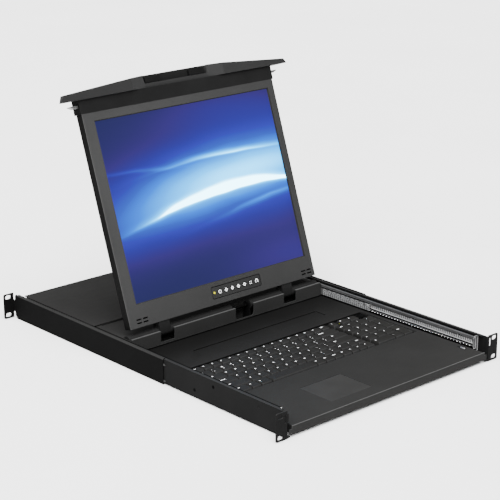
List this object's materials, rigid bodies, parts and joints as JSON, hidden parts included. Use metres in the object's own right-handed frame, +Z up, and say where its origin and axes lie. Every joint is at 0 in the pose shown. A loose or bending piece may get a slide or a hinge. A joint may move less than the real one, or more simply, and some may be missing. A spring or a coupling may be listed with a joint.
{
  "type": "rackmount lcd console drawer",
  "caption": "Sheet-metal rack drawer on ball-bearing slides with a keyboard, a touchpad and a fold-up LCD behind a bowed handle.",
  "frame": {"origin": "middle of the four front rack slots, on the front ears' outer face", "axes": "+X to the right as the user sees it, +Y into the rack, +Z up"},
  "size_m": [0.4826, 0.679, 0.4252],
  "materials": {
    "bracket_paint": "satin black powder coat",
    "zinc_steel": "zinc plated",
    "cage_steel": "bright pressed steel",
    "ball_chrome": "polished",
    "deck_paint": "fine-textured charcoal powder coat",
    "key_plastic": "matte",
    "touchpad_plastic": "smooth matte",
    "board_green": "solder mask",
    "socket_shell": "plated",
    "bezel_paint": "satin grey paint",
    "screen_glass": "clear front",
    "osd_plastic": "matte",
    "button_plastic": "semi-gloss",
    "led_green": "clear",
    "handle_paint": "satin grey paint"
  },
  "bodies": {
    "rack_mount": {"front_bracket_left": "bracket_paint", "front_bracket_right": "bracket_paint", "rail_outer_left": "zinc_steel", "rail_outer_right": "zinc_steel", "slide_screws_left": "zinc_steel", "slide_screws_right": "zinc_steel"},
    "rear_mount_left": {"rear_bracket_left": "bracket_paint"},
    "rear_mount_right": {"rear_bracket_right": "bracket_paint"},
    "slide_left": {"rail_middle_left": "zinc_steel", "ball_cage_left": "cage_steel", "slide_balls_left": "ball_chrome"},
    "slide_right": {"rail_middle_right": "zinc_steel", "ball_cage_right": "cage_steel", "slide_balls_right": "ball_chrome"},
    "drawer": {"drawer_pan": "deck_paint", "keyboard_deck": "deck_paint", "hinge_wall": "deck_paint", "hinge_deck": "deck_paint", "rear_cover": "deck_paint", "hinge_saddles": "zinc_steel", "hinge_shaft": "zinc_steel", "rail_inner_left": "zinc_steel", "rail_inner_right": "zinc_steel", "keyboard_base": "key_plastic", "keyboard_led": "led_green", "keys_main_block": "key_plastic", "keys_function_row": "key_plastic", "keys_number_pad": "key_plastic", "touchpad": "touchpad_plastic", "touchpad_board": "key_plastic", "controller_board": "board_green", "power_supply": "zinc_steel", "power_inlet": "key_plastic", "video_socket": "socket_shell", "usb_socket": "key_plastic"},
    "lcd": {"lcd_shell": "bezel_paint", "lcd_bezel": "bezel_paint", "lcd_screen": "screen_glass", "osd_panel": "osd_plastic", "power_led": "led_green", "hinge_arm_left": "bezel_paint", "hinge_arm_right": "bezel_paint", "hinge_tubes": "bezel_paint", "handle_strip": "osd_plastic", "handle": "handle_paint"},
    "latch_slide_left": {"latch_left": "zinc_steel"},
    "latch_slide_right": {"latch_right": "zinc_steel"},
    "space_bar_body": {"space_bar": "key_plastic"},
    "shift_key_body": {"shift_key": "key_plastic"},
    "enter_key_body": {"enter_key": "key_plastic"},
    "backspace_key_body": {"backspace_key": "key_plastic"},
    "escape_key_body": {"escape_key": "key_plastic"},
    "osd_power": {"osd_button_power": "button_plastic"},
    "osd_up": {"osd_button_up": "button_plastic"},
    "osd_down": {"osd_button_down": "button_plastic"},
    "osd_left": {"osd_button_left": "button_plastic"},
    "osd_right": {"osd_button_right": "button_plastic"},
    "osd_menu": {"osd_button_menu": "button_plastic"},
    "osd_auto": {"osd_button_auto": "button_plastic"}
  },
  "joints": [
    {"name": "drawer_slide", "type": "slide", "parent": "rack_mount", "child": "drawer", "axis": [0, -1, 0], "range_m": [0, 0.42]},
    {"name": "slide_left_run", "type": "slide", "parent": "rack_mount", "child": "slide_left", "axis": [0, -1, 0], "range_m": [0, 0.21]},
    {"name": "slide_right_run", "type": "slide", "parent": "rack_mount", "child": "slide_right", "axis": [0, -1, 0], "range_m": [0, 0.21]},
    {"name": "rear_depth_left", "type": "slide", "parent": "rack_mount", "child": "rear_mount_left", "axis": [0, 1, 0], "range_m": [-0.06, 0.12]},
    {"name": "rear_depth_right", "type": "slide", "parent": "rack_mount", "child": "rear_mount_right", "axis": [0, 1, 0], "range_m": [-0.06, 0.12]},
    {"name": "lcd_hinge", "type": "hinge", "parent": "drawer", "child": "lcd", "pos_m": [0, 0.3821, 0.0135], "axis": [1, 0, 0], "range_deg": [-11, 108.9]},
    {"name": "latch_slide_left_travel", "type": "slide", "parent": "lcd", "child": "latch_slide_left", "axis": [1, 0, 0], "range_m": [0, 0.0034], "stiffness_N_per_m": 400},
    {"name": "latch_slide_right_travel", "type": "slide", "parent": "lcd", "child": "latch_slide_right", "axis": [-1, 0, 0], "range_m": [0, 0.0034], "stiffness_N_per_m": 400},
    {"name": "space_bar_press", "type": "slide", "parent": "drawer", "child": "space_bar_body", "axis": [0, 0, -1], "range_m": [0, 0.0025], "stiffness_N_per_m": 250, "springref_m": -0.001},
    {"name": "shift_key_press", "type": "slide", "parent": "drawer", "child": "shift_key_body", "axis": [0, 0, -1], "range_m": [0, 0.0025], "stiffness_N_per_m": 250, "springref_m": -0.001},
    {"name": "enter_key_press", "type": "slide", "parent": "drawer", "child": "enter_key_body", "axis": [0, 0, -1], "range_m": [0, 0.0025], "stiffness_N_per_m": 250, "springref_m": -0.001},
    {"name": "backspace_key_press", "type": "slide", "parent": "drawer", "child": "backspace_key_body", "axis": [0, 0, -1], "range_m": [0, 0.0025], "stiffness_N_per_m": 250, "springref_m": -0.001},
    {"name": "escape_key_press", "type": "slide", "parent": "drawer", "child": "escape_key_body", "axis": [0, 0, -1], "range_m": [0, 0.0025], "stiffness_N_per_m": 250, "springref_m": -0.001},
    {"name": "osd_power_press", "type": "slide", "parent": "lcd", "child": "osd_power", "axis": [0, 0.9461, -0.3239], "range_m": [0, 0.0008], "stiffness_N_per_m": 400, "springref_m": -0.0005},
    {"name": "osd_up_press", "type": "slide", "parent": "lcd", "child": "osd_up", "axis": [0, 0.9461, -0.3239], "range_m": [0, 0.0008], "stiffness_N_per_m": 400, "springref_m": -0.0005},
    {"name": "osd_down_press", "type": "slide", "parent": "lcd", "child": "osd_down", "axis": [0, 0.9461, -0.3239], "range_m": [0, 0.0008], "stiffness_N_per_m": 400, "springref_m": -0.0005},
    {"name": "osd_left_press", "type": "slide", "parent": "lcd", "child": "osd_left", "axis": [0, 0.9461, -0.3239], "range_m": [0, 0.0008], "stiffness_N_per_m": 400, "springref_m": -0.0005},
    {"name": "osd_right_press", "type": "slide", "parent": "lcd", "child": "osd_right", "axis": [0, 0.9461, -0.3239], "range_m": [0, 0.0008], "stiffness_N_per_m": 400, "springref_m": -0.0005},
    {"name": "osd_menu_press", "type": "slide", "parent": "lcd", "child": "osd_menu", "axis": [0, 0.9461, -0.3239], "range_m": [0, 0.0008], "stiffness_N_per_m": 400, "springref_m": -0.0005},
    {"name": "osd_auto_press", "type": "slide", "parent": "lcd", "child": "osd_auto", "axis": [0, 0.9461, -0.3239], "range_m": [0, 0.0008], "stiffness_N_per_m": 400, "springref_m": -0.0005}
  ],
  "couplings": [
    {"joint": "slide_left_run", "follows": "drawer_slide", "ratio": 0.5},
    {"joint": "slide_right_run", "follows": "drawer_slide", "ratio": 0.5}
  ]
}
